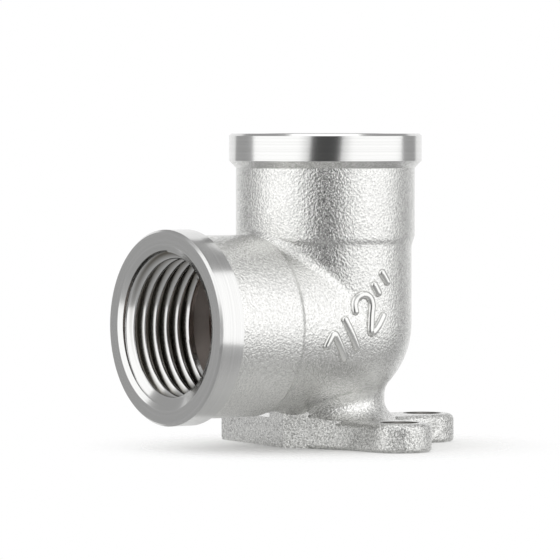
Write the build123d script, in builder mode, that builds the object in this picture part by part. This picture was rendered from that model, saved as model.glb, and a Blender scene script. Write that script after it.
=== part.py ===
# Wall plate elbow for half-inch pipe thread, forged in nickel-plated brass as one piece.
# The outlet socket stands out from the wall and the inlet socket runs along it.
# The wall is the plane z = 0, the outlet points to +Z and the inlet to -X.
# Lengths are in millimetres.
import os
from math import radians, tan

from build123d import *

# Threaded sockets, bored plain to the root of the thread
thread_root_d = 20.955
thread_depth = 12.2
thread_runout = 1.8
mouth_lead_in = 0.7
mouth_cone_angle = 120
waterway_d = 18.6
drill_point_angle = 118

# Forged body
outlet_face_z = 43.0
inlet_face_x = 27.0
inlet_axis_z = 16.9
body_r = 11.87
crotch_r = 2.5

# Turned collars at the two mouths
collar_r = 13.25
collar_length = 3.7
collar_edge = 0.3

# Outlet wall, from its collar to the step down to the body
outlet_wall_r = 12.3
outlet_shoulder = 1.0
outlet_step_from_face = 14.0
outlet_step_length = 1.4

# Inlet wall, from its collar to the step down to the body
inlet_wall_r = 12.4
inlet_shoulder = 0.6
inlet_step_from_face = 13.9
inlet_step_length = 1.2

# Neck between the body and the flange
neck_x = 1.45
neck_r = 7.0
neck_top_fillet = 3.0
neck_foot_fillet = 2.4

# Flange with three screw ears
flange_t = 3.95
flange_top_edge = 0.9
flange_bottom_edge = 0.6
ear_r = 4.4
side_ear_x = 1.0
side_ear_y = 15.4
rear_ear_x = 16.9
ear_corner_r = 6.5
screw_hole_d = 4.8
screw_hole_edge = 0.3

# Front of the flange, under the inlet: a blunt ridge on the parting plane,
# sloping back to one side ear and trimmed flat across the other
ridge_x = 7.2
slope_end_y = 9.2
slope_blend_r = 10.0
trim_corner_x = 3.4
web_half_width = 3.5

# Places that follow from the sizes
side_ears = [(side_ear_x, side_ear_y), (side_ear_x, -side_ear_y)]
rear_ear = (rear_ear_x, 0)
ear_front_x = side_ear_x - ear_r
ear_back_x = side_ear_x + ear_r
ear_end_y = side_ear_y + ear_r
front_slope = slope_end_y / (ridge_x + ear_front_x)
trim_run = ridge_x - trim_corner_x
thread_root_r = thread_root_d / 2
waterway_r = waterway_d / 2
drill_point = waterway_r / tan(radians(drill_point_angle / 2))
mouth_cone_depth = mouth_lead_in / tan(radians(mouth_cone_angle / 2))
foot_r = neck_r + neck_foot_fillet
foot_top_z = flange_t + neck_foot_fillet
neck_end_z = inlet_axis_z - body_r / 2
web_top_z = inlet_axis_z - (body_r + waterway_r) / 2
same_place = 0.01

base_up = (Align.CENTER, Align.CENTER, Align.MIN)
centre = Vector(0, 0, inlet_axis_z)
outlet_section = Plane.XZ
inlet_section = Plane(origin=centre, x_dir=(0, 0, 1), z_dir=(0, -1, 0))
neck_section = Plane(origin=(neck_x, 0, 0), x_dir=(1, 0, 0), z_dir=(0, -1, 0))
inlet_axis = Axis(centre, (-1, 0, 0))
neck_axis = Axis((neck_x, 0, 0), (0, 0, 1))


# Two round branches that meet in a ball, rounded in the crotch and round the neck
with BuildPart() as body:
    with Locations(centre):
        Cylinder(body_r, outlet_face_z - inlet_axis_z - collar_length, align=base_up)
        Cylinder(body_r, inlet_face_x - collar_length, rotation=(0, -90, 0), align=base_up)
        Sphere(body_r)
    crotch = body.edges().filter_by(GeomType.ELLIPSE).filter_by(
        lambda edge: edge.center().Z > inlet_axis_z
    )
    fillet(crotch, radius=crotch_r)
    with Locations((neck_x, 0, -neck_top_fillet)):
        Cylinder(neck_r, neck_top_fillet + neck_end_z, align=base_up)
    neck_joint = body.edges().filter_by(GeomType.LINE, reverse=True).filter_by(
        lambda edge: 0 < edge.center().Z < neck_end_z and abs(edge.center().X) < body_r
    )
    fillet(neck_joint, radius=neck_top_fillet)
    split(bisect_by=Plane.XY, keep=Keep.TOP)

# Flange: side ears along Y, rear ear along +X, and stock in front for the trimmed flat
with BuildPart() as flange:
    with BuildSketch() as flange_plan:
        with Locations(*side_ears, rear_ear):
            Circle(ear_r)
        with Locations((side_ear_x, 0)):
            Rectangle(2 * ear_r, 2 * side_ear_y)
        with Locations((rear_ear_x / 2, 0)):
            Rectangle(rear_ear_x, 2 * ear_r)
        with BuildLine():
            Polyline(
                (side_ear_x, -slope_end_y),
                (ear_front_x, -slope_end_y),
                (-ridge_x - trim_run, front_slope * trim_run),
                (-ridge_x - trim_run, ear_end_y),
                (side_ear_x, ear_end_y),
                close=True,
            )
        make_face()
        ear_corners = flange_plan.vertices().filter_by(
            lambda corner: abs(corner.X - ear_back_x) < same_place
            and abs(abs(corner.Y) - ear_r) < same_place
        )
        fillet(ear_corners, radius=ear_corner_r)
        slope_end = flange_plan.vertices().filter_by(
            lambda corner: abs(corner.X - ear_front_x) < same_place
            and abs(corner.Y + slope_end_y) < same_place
        )
        fillet(slope_end, radius=slope_blend_r)
    extrude(amount=flange_t)
    fillet(flange.faces().sort_by(Axis.Z)[-1].edges(), radius=flange_top_edge)
    fillet(flange.faces().sort_by(Axis.Z)[0].edges(), radius=flange_bottom_edge)

# Foot of the neck, flaring out on to the flange and kept inside its outline
with BuildPart() as neck_foot:
    with BuildSketch(neck_section):
        with BuildLine():
            RadiusArc((foot_r, flange_t), (neck_r, foot_top_z), neck_foot_fillet)
            Polyline((neck_r, foot_top_z), (0, foot_top_z), (0, 0), (foot_r, 0), (foot_r, flange_t))
        make_face()
    revolve(axis=neck_axis)
    with BuildSketch():
        add(flange_plan.sketch)
    extrude(amount=foot_top_z, mode=Mode.INTERSECT)
    split(bisect_by=Plane.XY.offset(flange_t / 2), keep=Keep.TOP)

# Web from the ridge back to the neck, up into the underside of the body
with BuildPart() as web:
    with BuildSketch():
        with BuildLine():
            Polyline(
                (-ridge_x - web_half_width / front_slope, web_half_width),
                (-ridge_x + web_half_width / front_slope, -web_half_width),
                (neck_x, -neck_r),
                (neck_x, neck_r),
                close=True,
            )
        make_face()
    extrude(amount=web_top_z)


def socket_wall(wall_r, face, shoulder, step_from_face, step_length):
    """Half section of a socket's outside: step, plain wall, shoulder and turned collar."""
    step_end = face - step_from_face
    collar_start = face - collar_length
    Polyline(
        (0, step_end - 2 * step_length),
        (2 * body_r - wall_r, step_end - 2 * step_length),
        (wall_r, step_end),
        (wall_r, collar_start - shoulder),
        (collar_r, collar_start),
        (collar_r, face - collar_edge),
        (collar_r - collar_edge, face),
        (0, face),
        close=True,
    )


def socket_bore(face, waterway_end):
    """Half section of a socket's inside: drilled waterway, run-out, threaded bore and lead-in."""
    Polyline(
        (0, waterway_end - drill_point),
        (waterway_r, waterway_end),
        (waterway_r, face - thread_depth - thread_runout),
        (thread_root_r, face - thread_depth),
        (thread_root_r, face - mouth_cone_depth),
        (thread_root_r + mouth_lead_in, face),
        (0, face),
        close=True,
    )


# The whole elbow as one solid
with BuildPart() as elbow:
    add(flange.part)
    add(neck_foot.part)
    add(web.part)

    # Flat trimmed across the front, through the ridge and the corner of one side ear
    with BuildSketch():
        with BuildLine():
            Polyline(
                (-ridge_x - trim_run, -ear_end_y),
                (-ridge_x + 2 * trim_run, 2 * ear_end_y),
                (-ridge_x - 2 * trim_run, 2 * ear_end_y),
                (-ridge_x - 2 * trim_run, -ear_end_y),
                close=True,
            )
        make_face()
    extrude(amount=web_top_z, mode=Mode.SUBTRACT)
    add(body.part)

    # Walls of the two sockets
    with BuildSketch(outlet_section):
        with BuildLine():
            socket_wall(
                outlet_wall_r, outlet_face_z, outlet_shoulder, outlet_step_from_face, outlet_step_length
            )
        make_face()
    revolve(axis=Axis.Z)
    with BuildSketch(inlet_section):
        with BuildLine():
            socket_wall(
                inlet_wall_r, inlet_face_x, inlet_shoulder, inlet_step_from_face, inlet_step_length
            )
        make_face()
    revolve(axis=inlet_axis)

    # Bores, drilled from each mouth until they meet
    with BuildSketch(outlet_section):
        with BuildLine():
            socket_bore(outlet_face_z, inlet_axis_z - waterway_r / 2)
        make_face()
    revolve(axis=Axis.Z, mode=Mode.SUBTRACT)
    with BuildSketch(inlet_section):
        with BuildLine():
            socket_bore(inlet_face_x, 0)
        make_face()
    revolve(axis=inlet_axis, mode=Mode.SUBTRACT)

    # Screw holes in the three ears, each with a broken edge at the top
    with Locations(Plane.XY.offset(flange_t)):
        with Locations(*side_ears, rear_ear):
            CounterSinkHole(
                screw_hole_d / 2,
                screw_hole_d / 2 + screw_hole_edge,
                depth=flange_t,
                counter_sink_angle=90,
            )

elbow.part.label = "elbow_body"
os.makedirs("parts", exist_ok=True)
export_step(elbow.part, "parts/elbow_body.step")
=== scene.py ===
# Wall plate elbow for half-inch pipe thread: one nickel-plated brass forging with two threaded
# sockets, standing on its wall flange. Lengths are in metres, the wall is z = 0, the outlet
# points to +Z and the inlet to -X.
import math

import bmesh
import bpy
from mathutils import Matrix, Vector
from mathutils.bvhtree import BVHTree


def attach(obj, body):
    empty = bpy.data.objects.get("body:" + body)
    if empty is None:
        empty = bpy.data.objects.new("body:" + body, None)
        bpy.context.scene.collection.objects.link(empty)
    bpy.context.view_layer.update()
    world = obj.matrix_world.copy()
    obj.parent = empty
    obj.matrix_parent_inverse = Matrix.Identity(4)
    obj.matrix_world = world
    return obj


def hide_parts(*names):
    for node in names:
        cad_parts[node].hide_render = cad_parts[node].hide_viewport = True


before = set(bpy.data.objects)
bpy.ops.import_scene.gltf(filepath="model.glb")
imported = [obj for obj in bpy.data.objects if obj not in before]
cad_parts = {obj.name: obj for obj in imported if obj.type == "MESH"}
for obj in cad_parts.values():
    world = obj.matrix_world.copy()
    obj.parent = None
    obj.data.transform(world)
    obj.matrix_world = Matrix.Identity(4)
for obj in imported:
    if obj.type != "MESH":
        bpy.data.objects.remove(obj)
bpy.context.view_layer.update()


# Elbow body. A brass forging, shot-blasted clean of scale, then turned at the two collars and
# mouths, drilled for the waterway and the screws, and nickel plated all over. Three screws
# through its ears hold it to the wall.
inlet_height = 0.0169
outlet_face = 0.043
inlet_face = -0.027
collar_length = 0.0037
flange_thickness = 0.00395
screw_hole_centres = [(0.001, 0.0154), (0.001, -0.0154), (0.0169, 0.0)]
crease_angle = math.radians(28)

# Limits that tell one machined surface from the next, each just outside the real one
socket_radius = 0.0113
waterway_radius = 0.0094
thread_end = 0.0123
outlet_drill_tip = 0.0066
inlet_drill_tip = 0.0057
drill_point_slope = math.tan(math.radians(59))
screw_hole_rim = 0.0027
off_the_flat = 0.00001


def linear(hex_colour):
    """An sRGB hex colour as the linear RGBA that a shader socket takes."""
    channels = [int(hex_colour[i : i + 2], 16) / 255 for i in (1, 3, 5)]
    return [c / 12.92 if c <= 0.04045 else ((c + 0.055) / 1.055) ** 2.4 for c in channels] + [1.0]


def add_node(tree, kind, settings=None, **inputs):
    """One shader node with its settings. An input is named for its socket, or _ and its number,
    and is a constant or another node's output."""
    node = tree.nodes.new(kind)
    for name, value in (settings or {}).items():
        setattr(node, name, value)
    for name, value in inputs.items():
        key = int(name[1:]) if name[1:].isdigit() else name.replace("_", " ")
        socket = node.inputs[key]
        if isinstance(value, bpy.types.NodeSocket):
            tree.links.new(value, socket)
        else:
            socket.default_value = value
    return node


def metal(name, colour, roughness):
    """A material with one bare metal surface shader, ready for its pattern."""
    material = bpy.data.materials.new(name)
    material.use_nodes = True
    shader = material.node_tree.nodes["Principled BSDF"]
    shader.inputs["Base Color"].default_value = linear(colour)
    shader.inputs["Metallic"].default_value = 1.0
    shader.inputs["Roughness"].default_value = roughness
    return material, material.node_tree, shader


# Shot-blasted forging under bright nickel: the shot leaves dimples about 0.3 mm across, which
# break every reflection into a fine speckle, over a slower waviness of the forging skin. The
# dimples are deeper on the flange than on the body. The colour is painted darker in the dimples,
# and darker still on the flange: painted shade in the pits.
dimple_mm = 0.3
waviness_mm = 2.6
waviness_depth = 0.000008
dimple_depth = 0.00011
flange_dimple_depth = 0.00016
flange_finish_top = 0.0038
body_finish_foot = 0.006
blasted, tree, shader = metal("nickel plate on shot-blasted brass forging", "#DCDCDA", 0.19)
place = add_node(tree, "ShaderNodeTexCoord").outputs["Object"]
dimples = add_node(
    tree,
    "ShaderNodeTexNoise",
    Vector=place,
    Scale=1000 / dimple_mm,
    Detail=2.0,
    Roughness=0.6,
)
waviness = add_node(
    tree,
    "ShaderNodeTexNoise",
    Vector=place,
    Scale=1000 / waviness_mm,
    Detail=2.0,
    Roughness=0.5,
)
above_wall = add_node(tree, "ShaderNodeSeparateXYZ", _0=place)
on_flange = add_node(
    tree,
    "ShaderNodeMapRange",
    Value=above_wall.outputs["Z"],
    From_Min=flange_finish_top,
    From_Max=body_finish_foot,
    To_Min=1.0,
    To_Max=0.0,
)
pit_depth = add_node(
    tree,
    "ShaderNodeMapRange",
    Value=on_flange.outputs["Result"],
    To_Min=dimple_depth,
    To_Max=flange_dimple_depth,
)
skin = add_node(
    tree,
    "ShaderNodeBump",
    Height=waviness.outputs["Fac"],
    Distance=waviness_depth,
    Strength=1.0,
)
grain = add_node(
    tree,
    "ShaderNodeBump",
    Height=dimples.outputs["Fac"],
    Distance=pit_depth.outputs["Result"],
    Strength=1.0,
    Normal=skin.outputs["Normal"],
)
tree.links.new(grain.outputs["Normal"], shader.inputs["Normal"])
sheen = add_node(
    tree,
    "ShaderNodeMapRange",
    Value=waviness.outputs["Fac"],
    From_Min=0.3,
    From_Max=0.7,
    To_Min=0.15,
    To_Max=0.23,
)
tree.links.new(sheen.outputs["Result"], shader.inputs["Roughness"])
# Painted shade in the dimples: their low points are coloured darker, and on the flange darker still
pit_shade_mask = add_node(
    tree, "ShaderNodeMapRange", Value=dimples.outputs["Fac"], From_Min=0.36, From_Max=0.6
)
pit_shade_tone = add_node(
    tree,
    "ShaderNodeMix",
    {"data_type": "RGBA"},
    _0=on_flange.outputs["Result"],
    _6=linear("#D3D3D1"),
    _7=linear("#B4B4B2"),
)
plate_tone_with_pit_shade = add_node(
    tree,
    "ShaderNodeMix",
    {"data_type": "RGBA"},
    _0=pit_shade_mask.outputs["Result"],
    _6=pit_shade_tone.outputs[2],
    _7=linear("#EAEAE8"),
)
tree.links.new(plate_tone_with_pit_shade.outputs[2], shader.inputs["Base Color"])


def round_the_axis(tree, centre, across):
    """The distances from a socket's axis and along it, for finishes that run round the socket."""
    place = add_node(tree, "ShaderNodeTexCoord").outputs["Object"]
    from_axis = add_node(tree, "ShaderNodeVectorMath", {"operation": "SUBTRACT"}, _0=place, _1=centre)
    spoke = add_node(
        tree, "ShaderNodeVectorMath", {"operation": "MULTIPLY"}, _0=from_axis.outputs[0], _1=across
    )
    along = add_node(
        tree,
        "ShaderNodeVectorMath",
        {"operation": "SUBTRACT"},
        _0=from_axis.outputs[0],
        _1=spoke.outputs[0],
    )
    radius = add_node(tree, "ShaderNodeVectorMath", {"operation": "LENGTH"}, _0=spoke.outputs[0])
    height = add_node(tree, "ShaderNodeVectorMath", {"operation": "LENGTH"}, _0=along.outputs[0])
    return radius.outputs["Value"], height.outputs["Value"]


# Turned brass under nickel: the tool leaves fine lines round the socket's axis, which draw each
# reflection out across them. The real lines are about 0.1 mm apart, too fine to show, so they
# are drawn three times as coarse.
tool_line_mm = 0.3
tool_line_depth = 0.000002


def turned_nickel(name, centre, across):
    """The turned finish of one socket's collar, face and lead-in."""
    material, tree, shader = metal(name, "#DCDCDB", 0.17)
    radius, height = round_the_axis(tree, centre, across)
    section = add_node(tree, "ShaderNodeCombineXYZ", X=radius, Y=height)
    tool_lines = add_node(
        tree,
        "ShaderNodeTexNoise",
        Vector=section.outputs[0],
        Scale=1000 / tool_line_mm,
        Detail=2.0,
        Roughness=0.6,
    )
    cut = add_node(
        tree,
        "ShaderNodeBump",
        Height=tool_lines.outputs["Fac"],
        Distance=tool_line_depth,
        Strength=1.0,
    )
    tree.links.new(cut.outputs["Normal"], shader.inputs["Normal"])
    polish = add_node(
        tree, "ShaderNodeMapRange", Value=tool_lines.outputs["Fac"], From_Min=0.35, From_Max=0.65
    )
    line_tone = add_node(
        tree,
        "ShaderNodeMix",
        {"data_type": "RGBA"},
        _0=polish.outputs["Result"],
        _6=linear("#D8D8D7"),
        _7=linear("#E0E0DF"),
    )
    tree.links.new(line_tone.outputs[2], shader.inputs["Base Color"])
    return material


turned_outlet = turned_nickel("nickel plate on turned brass, outlet", (0, 0, 0), (1, 1, 0))
turned_inlet = turned_nickel("nickel plate on turned brass, inlet", (0, 0, inlet_height), (0, 1, 1))

# Behind the threads the plating bath leaves only a thin dull flash, and the drilled brass shows
# through it as a brownish grey, uneven where the drill rubbed. The screw holes and their rims
# are painted a dark grey: painted shade in the holes.
drill_mark_mm = 0.8
drill_mark_depth = 0.00002
drilled, tree, shader = metal("thin nickel flash on drilled brass", "#B5ABA5", 0.4)
place = add_node(tree, "ShaderNodeTexCoord").outputs["Object"]
drill_marks = add_node(
    tree,
    "ShaderNodeTexNoise",
    Vector=place,
    Scale=1000 / drill_mark_mm,
    Detail=3.0,
    Roughness=0.6,
)
rubbed = add_node(
    tree,
    "ShaderNodeBump",
    Height=drill_marks.outputs["Fac"],
    Distance=drill_mark_depth,
    Strength=1.0,
)
tree.links.new(rubbed.outputs["Normal"], shader.inputs["Normal"])
# Painted shade: the screw holes and their rims are coloured dark grey
screw_hole_shade, _, _ = metal("painted shade in drilled screw holes", "#6C6A67", 0.35)

# The mesh is the forging's own, merged and given a finish face by face
finishes = [blasted, turned_outlet, turned_inlet, drilled, screw_hole_shade]
body_form = bmesh.new()
body_form.from_mesh(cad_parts["elbow_body"].data)
bmesh.ops.remove_doubles(body_form, verts=body_form.verts, dist=1e-7)
for edge in body_form.edges:
    edge.smooth = edge.calc_face_angle(0) < crease_angle
for face in body_form.faces:
    face.smooth = True
    x, y, z = face.calc_center_median()
    from_outlet_axis = math.hypot(x, y)
    from_inlet_axis = math.hypot(y, z - inlet_height)
    in_outlet_socket = from_outlet_axis < socket_radius and z > inlet_height + waterway_radius
    in_inlet_socket = from_inlet_axis < socket_radius and x < -waterway_radius
    in_run_out = (in_outlet_socket and z < outlet_face - thread_end) or (
        in_inlet_socket and x > inlet_face + thread_end
    )
    in_outlet_drilling = z < outlet_face - thread_end and from_outlet_axis < min(
        waterway_radius, (z - outlet_drill_tip) * drill_point_slope
    )
    in_inlet_drilling = x > inlet_face + thread_end and from_inlet_axis < min(
        waterway_radius, (inlet_drill_tip - x) * drill_point_slope
    )
    in_screw_hole = off_the_flat < z < flange_thickness - off_the_flat and any(
        math.hypot(x - hole_x, y - hole_y) < screw_hole_rim for hole_x, hole_y in screw_hole_centres
    )
    if in_screw_hole:
        finish = screw_hole_shade
    elif in_run_out or in_outlet_drilling or in_inlet_drilling:
        finish = drilled
    elif z > outlet_face - collar_length or in_outlet_socket:
        finish = turned_outlet
    elif x < inlet_face + collar_length or in_inlet_socket:
        finish = turned_inlet
    else:
        finish = blasted
    face.material_index = finishes.index(finish)

elbow_mesh = bpy.data.meshes.new("elbow_skin")
body_form.to_mesh(elbow_mesh)
for finish in finishes:
    elbow_mesh.materials.append(finish)
elbow = bpy.data.objects.new("elbow_skin", elbow_mesh)
bpy.context.scene.collection.objects.link(elbow)
even_shading = elbow.modifiers.new("even shading", "WEIGHTED_NORMAL")
even_shading.keep_sharp = True
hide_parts("elbow_body")
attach(elbow, "root")


# Threads. Each socket is tapped with half-inch parallel pipe thread, 14 to the inch with
# rounded crests, after a 120 degree countersink that cuts through the first turn.
thread_pitch = 0.001814
thread_height = 0.0011616
thread_root = 0.0104775
thread_length = 0.0122
countersink_radius = 0.0111775
countersink_slope = math.tan(math.radians(60))
run_out = 0.9 * thread_pitch
first_crest = 0.0003
sunk_in_wall = 0.0009
behind_surface = 0.00002
steps_per_turn = 96
thread_crease = math.radians(50)

# Half of the ridge's section, from its foot to its crest: along the axis in pitches, and the
# rise in thread heights
flank_profile = [(0.50, 0.01), (0.44, 0.03), (0.385, 0.11), (0.140, 0.85), (0.085, 0.95), (0.0, 1.0)]

# Cut brass under nickel, bright on the crests, the outer flanks and the countersink. Past the
# countersink the roots and the inner half of the flanks are painted a dark brownish grey:
# painted shade in the thread's grooves
root_shade_start_r = 0.0095
root_shade_full_r = 0.0101
countersink_foot = 0.0011
root_shade_from = 0.0014


def cut_thread_finish(name, centre, across, mouth):
    """The finish of one socket's thread, with painted shade in its roots past the countersink;
    mouth is how far its face is from the centre.
    """
    material, tree, shader = metal(name, "#DCDCDB", 0.15)
    radius, height = round_the_axis(tree, centre, across)
    toward_root = add_node(
        tree, "ShaderNodeMapRange", Value=radius, From_Min=root_shade_start_r, From_Max=root_shade_full_r
    )
    past_countersink = add_node(
        tree,
        "ShaderNodeMapRange",
        Value=height,
        From_Min=mouth - root_shade_from,
        From_Max=mouth - countersink_foot,
        To_Min=1.0,
        To_Max=0.0,
    )
    painted_root_shade = add_node(
        tree,
        "ShaderNodeMath",
        {"operation": "MULTIPLY"},
        _0=toward_root.outputs["Result"],
        _1=past_countersink.outputs["Result"],
    )
    # Painted shade: past the countersink the roots and inner flanks are coloured dark brownish grey
    thread_tone_with_root_shade = add_node(
        tree,
        "ShaderNodeMix",
        {"data_type": "RGBA"},
        _0=painted_root_shade.outputs[0],
        _6=linear("#DCDCDB"),
        _7=linear("#7C7870"),
    )
    tree.links.new(thread_tone_with_root_shade.outputs[2], shader.inputs["Base Color"])
    return material


def tapped_thread(name, finish, socket_place):
    """The helical ridge of one socket, spun about +Z with its mouth at the origin, then placed.
    It starts inside the wall, is trimmed by the countersink and fades out at its inner end."""
    ridge = [(-along, rise) for along, rise in flank_profile] + [
        (along, rise) for along, rise in reversed(flank_profile[:-1])
    ]
    form = bmesh.new()
    section = [
        form.verts.new((thread_root - rise * thread_height, 0, along * thread_pitch))
        for along, rise in [(-0.5, -0.25)] + ridge + [(0.5, -0.25)]
    ]
    edges = [form.edges.new(pair) for pair in zip(section, section[1:] + section[:1])]
    turns = (thread_length - first_crest) / thread_pitch
    steps = round(turns * steps_per_turn)
    bmesh.ops.spin(
        form,
        geom=section + edges,
        cent=(0, 0, 0),
        axis=(0, 0, -1),
        dvec=(0, 0, -thread_pitch / steps_per_turn),
        angle=2 * math.pi * turns,
        steps=steps,
        use_merge=False,
    )
    bmesh.ops.holes_fill(form, edges=[edge for edge in form.edges if edge.is_boundary])
    for vertex in form.verts:
        depth = min(max(first_crest - vertex.co.z, behind_surface), thread_length)
        around = math.atan2(vertex.co.y, vertex.co.x)
        countersink = countersink_radius + behind_surface - depth * countersink_slope
        faded_crest = thread_root - thread_height * (thread_length - depth) / run_out
        radius = max(math.hypot(vertex.co.x, vertex.co.y), countersink, faded_crest)
        radius = min(radius, thread_root + sunk_in_wall)
        vertex.co = (radius * math.cos(around), radius * math.sin(around), -depth)
    bmesh.ops.dissolve_degenerate(form, edges=form.edges, dist=1e-7)
    bmesh.ops.recalc_face_normals(form, faces=form.faces)
    for face in form.faces:
        face.smooth = True
    for edge in form.edges:
        edge.smooth = edge.calc_face_angle(0) < thread_crease
    form.transform(socket_place)
    mesh = bpy.data.meshes.new(name)
    form.to_mesh(mesh)
    mesh.materials.append(finish)
    thread = bpy.data.objects.new(name, mesh)
    bpy.context.scene.collection.objects.link(thread)
    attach(thread, "root")


outlet_cut = cut_thread_finish(
    "nickel plate on cut brass thread, outlet", (0, 0, 0), (1, 1, 0), outlet_face
)
inlet_cut = cut_thread_finish(
    "nickel plate on cut brass thread, inlet", (0, 0, inlet_height), (0, 1, 1), -inlet_face
)
tapped_thread("outlet_thread", outlet_cut, Matrix.Translation((0, 0, outlet_face)))
tapped_thread(
    "inlet_thread",
    inlet_cut,
    Matrix.Translation((inlet_face, 0, inlet_height)) @ Matrix.Rotation(math.radians(-90), 4, "Y"),
)


# Size mark. The thread's size in inches stands 0.5 mm proud of the side of the bend, as round
# strokes left by grooves in the forging die. The strokes are smoother than the blasted skin, so
# their crests catch the light as bright lines.
stroke_radius = 0.0006
stroke_height = 0.0005
groove_step = 0.00012
thinnest_end = 0.1
beside_the_body = -0.03
raised, _, _ = metal("nickel plate on raised forged brass", "#E2E2E0", 0.2)

# The strokes as seen from the side, as x and z in millimetres: a one, a slash, a two and the
# two ticks of the inch sign
mark_strokes = [
    [(-8.7, 13.9), (-8.1, 15.2), (-7.4, 16.3), (-6.6, 15.1), (-4.7, 12.2)],
    [(-5.8, 18.4), (-3.0, 13.6)],
    [
        (-3.5, 18.4),
        (-3.8, 19.5),
        (-3.4, 20.6),
        (-2.4, 21.3),
        (-1.4, 21.0),
        (-0.9, 20.0),
        (-1.1, 18.4),
        (-1.3, 15.8),
        (-0.3, 16.4),
        (1.2, 18.8),
    ],
    [(-0.9, 23.0), (0.4, 20.9)],
    [(0.4, 24.6), (2.0, 22.4)],
]
body_surface = BVHTree.FromBMesh(body_form)
mark_curve = bpy.data.curves.new("size_mark", "CURVE")
mark_curve.dimensions = "3D"
mark_curve.bevel_depth = stroke_radius
mark_curve.bevel_resolution = 4
mark_curve.use_fill_caps = True
for stroke in mark_strokes:
    # Each path has its corners cut twice, is set out in even steps and laid on the body
    path = [Vector((x / 1000, beside_the_body, z / 1000)) for x, z in stroke]
    for _ in range(2):
        rounded = [path[0]]
        for start, end in zip(path, path[1:]):
            rounded += [start.lerp(end, 0.25), start.lerp(end, 0.75)]
        path = rounded + [path[-1]]
    points = []
    for start, end in zip(path, path[1:]):
        steps = max(1, round((end - start).length / groove_step))
        points += [start.lerp(end, step / steps) for step in range(steps)]
    points.append(path[-1])
    spline = mark_curve.splines.new("POLY")
    spline.points.add(len(points) - 1)
    for point, spline_point in zip(points, spline.points):
        on_surface = body_surface.ray_cast(point, Vector((0, 1, 0)))[0]
        from_end = min((point - points[0]).length, (point - points[-1]).length, stroke_radius)
        centre_y = on_surface.y + stroke_radius - stroke_height
        spline_point.co = (on_surface.x, centre_y, on_surface.z, 1)
        round_end = math.sqrt(1 - (1 - from_end / stroke_radius) ** 2)
        spline_point.radius = max(thinnest_end, round_end)
mark_drawn = bpy.data.objects.new("size_mark_drawn", mark_curve)
mark_mesh = bpy.data.meshes.new_from_object(mark_drawn)
bpy.data.objects.remove(mark_drawn)
mark_form = bmesh.new()
mark_form.from_mesh(mark_mesh)
bmesh.ops.remove_doubles(mark_form, verts=mark_form.verts, dist=1e-7)
bmesh.ops.recalc_face_normals(mark_form, faces=mark_form.faces)
for face in mark_form.faces:
    face.smooth = True
mark_form.to_mesh(mark_mesh)
mark_form.free()
body_form.free()
mark_mesh.name = "size_mark"
mark_mesh.materials.clear()
mark_mesh.materials.append(raised)
size_mark = bpy.data.objects.new("size_mark", mark_mesh)
bpy.context.scene.collection.objects.link(size_mark)
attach(size_mark, "root")


# Studio. A white table and a white backdrop, two tall softboxes with a dark gap between them
# where the camera stands, and a weaker one overhead.
camera_azimuth = math.radians(-36.25)
camera_elevation = math.radians(1.9)
camera_place = (-0.4069, -0.5444, 0.0454)
camera_lens_mm = 317.7

# The table is matt and white. It keeps the elbow's shadow, glows a little where it is seen or
# mirrored, and fades into the backdrop a short way off.
table_radius = 0.1
table_glow = 0.13
table_solid_to = 0.006
table_gone_at = 0.036
floor_form = bmesh.new()
bmesh.ops.create_circle(floor_form, cap_ends=True, segments=96, radius=table_radius)
floor_mesh = bpy.data.meshes.new("table_top")
floor_form.to_mesh(floor_mesh)
floor_form.free()
white_table = bpy.data.materials.new("matt white laminate")
white_table.use_nodes = True
tree = white_table.node_tree
shader = tree.nodes["Principled BSDF"]
shader.inputs["Base Color"].default_value = linear("#E6E6E4")
shader.inputs["Roughness"].default_value = 0.8
ray = add_node(tree, "ShaderNodeLightPath")
seen_or_mirrored = add_node(
    tree,
    "ShaderNodeMath",
    {"operation": "ADD"},
    _0=ray.outputs["Is Camera Ray"],
    _1=ray.outputs["Is Glossy Ray"],
)
seen = add_node(
    tree,
    "ShaderNodeMath",
    {"operation": "ADD"},
    _0=seen_or_mirrored.outputs[0],
    _1=ray.outputs["Is Transmission Ray"],
)
glow = add_node(
    tree, "ShaderNodeMath", {"operation": "MULTIPLY"}, _0=seen.outputs[0], _1=table_glow
)
shader.inputs["Emission Color"].default_value = (1, 1, 1, 1)
tree.links.new(glow.outputs[0], shader.inputs["Emission Strength"])
place = add_node(tree, "ShaderNodeTexCoord").outputs["Object"]
away = add_node(tree, "ShaderNodeVectorMath", {"operation": "LENGTH"}, _0=place)
sweep = add_node(
    tree,
    "ShaderNodeMapRange",
    Value=away.outputs["Value"],
    From_Min=table_solid_to,
    From_Max=table_gone_at,
    To_Min=1.0,
    To_Max=0.0,
)
sweep.interpolation_type = "SMOOTHSTEP"
tree.links.new(sweep.outputs["Result"], shader.inputs["Alpha"])
floor_mesh.materials.append(white_table)
table_top = bpy.data.objects.new("table_top", floor_mesh)
bpy.context.scene.collection.objects.link(table_top)


def softbox(name, turn, lift, distance, width, height, power, rise):
    """An area lamp that faces the elbow: turn is its angle to the right of the camera and lift
    its angle up, in degrees, and rise is how far it is then raised."""
    lamp = bpy.data.lights.new(name, "AREA")
    lamp.shape = "RECTANGLE"
    lamp.size = width
    lamp.size_y = height
    lamp.energy = power
    lamp_object = bpy.data.objects.new(name, lamp)
    turned = Matrix.Rotation(camera_azimuth + math.radians(turn), 4, "Z")
    lifted = Matrix.Rotation(math.radians(90 - lift), 4, "X")
    moved_off = Matrix.Translation((0, 0, distance))
    raised_up = Matrix.Translation((0, 0, rise))
    lamp_object.matrix_world = raised_up @ turned @ lifted @ moved_off
    bpy.context.scene.collection.objects.link(lamp_object)


softbox("softbox_right", turn=61, lift=0, distance=0.5, width=0.93, height=0.92, power=2.05, rise=0.34)
softbox("softbox_left", turn=-57, lift=0, distance=0.5, width=0.8, height=0.92, power=1.8, rise=0.34)
softbox("softbox_above", turn=0, lift=90, distance=0.7, width=0.5, height=0.5, power=0.9, rise=0)

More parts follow.
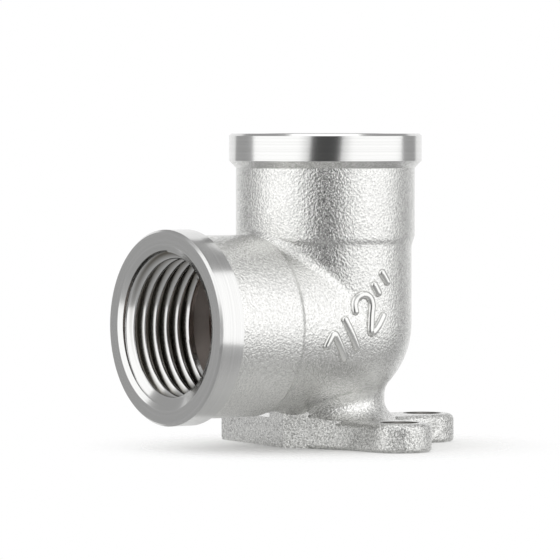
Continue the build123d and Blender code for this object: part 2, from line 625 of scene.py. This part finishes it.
# The room as the metal mirrors it: white backdrop behind the elbow, grey walls round it and a
# dark gap at the camera. The camera itself sees plain white.
steep_down = -0.65
near_level = -0.1
world = bpy.data.worlds.new("studio")
bpy.context.scene.world = world
world.use_nodes = True
tree = world.node_tree
room = tree.nodes["Background"]
ray = add_node(tree, "ShaderNodeLightPath")
direction = add_node(tree, "ShaderNodeTexCoord").outputs["Generated"]
toward_camera = (
    math.sin(camera_azimuth) * math.cos(camera_elevation),
    -math.cos(camera_azimuth) * math.cos(camera_elevation),
    0,
)
facing_camera = add_node(
    tree, "ShaderNodeVectorMath", {"operation": "DOT_PRODUCT"}, _0=direction, _1=toward_camera
)
round_the_room = add_node(
    tree, "ShaderNodeMapRange", Value=facing_camera.outputs["Value"], From_Min=-1.0, From_Max=1.0
)


def tones(stops):
    """A ramp from straight behind the elbow, at 0, round to the camera, at 1."""
    ramp = add_node(tree, "ShaderNodeValToRGB", Fac=round_the_room.outputs["Result"])
    ramp.color_ramp.interpolation = "EASE"
    for stop, (position, colour) in enumerate(stops):
        element = ramp.color_ramp.elements[stop] if stop < 2 else ramp.color_ramp.elements.new(position)
        element.position = position
        element.color = linear(colour)
    return ramp.outputs["Color"]


tone_below = tones(
    [
        (0.12, "#FFFFFF"),
        (0.15, "#ABABAB"),
        (0.85, "#ABABAB"),
        (0.965, "#848484"),
        (0.99, "#4C4C4C"),
    ]
)
tone_round = tones(
    [
        (0.12, "#FFFFFF"),
        (0.15, "#ABABAB"),
        (0.36, "#ABABAB"),
        (0.47, "#C8C8C8"),
        (0.92, "#C8C8C8"),
        (0.965, "#848484"),
        (0.99, "#4C4C4C"),
    ]
)
upward = add_node(tree, "ShaderNodeSeparateXYZ", _0=direction)
level = add_node(
    tree,
    "ShaderNodeMapRange",
    Value=upward.outputs["Z"],
    From_Min=steep_down,
    From_Max=near_level,
    To_Min=0.0,
    To_Max=1.0,
)
level.interpolation_type = "SMOOTHSTEP"
mirrored_tone = add_node(
    tree,
    "ShaderNodeMix",
    {"data_type": "RGBA"},
    _0=level.outputs["Result"],
    _6=tone_below,
    _7=tone_round,
)
tree.links.new(mirrored_tone.outputs[2], room.inputs["Color"])
white_background = add_node(tree, "ShaderNodeBackground", Color=(1, 1, 1, 1), Strength=1.0)
studio_mix = add_node(
    tree,
    "ShaderNodeMixShader",
    _0=ray.outputs["Is Camera Ray"],
    _1=room.outputs[0],
    _2=white_background.outputs[0],
)
tree.links.new(studio_mix.outputs[0], tree.nodes["World Output"].inputs["Surface"])

camera_data = bpy.data.cameras.new("camera")
camera_data.sensor_width = 36
camera_data.sensor_fit = "HORIZONTAL"
camera_data.lens = camera_lens_mm
camera_data.clip_start = 0.01
camera = bpy.data.objects.new("camera", camera_data)
camera.location = camera_place
camera.rotation_euler = (math.radians(90) - camera_elevation, 0, camera_azimuth)
bpy.context.scene.collection.objects.link(camera)
bpy.context.scene.camera = camera
bpy.context.scene.view_settings.view_transform = "Standard"

bpy.context.view_layer.update()
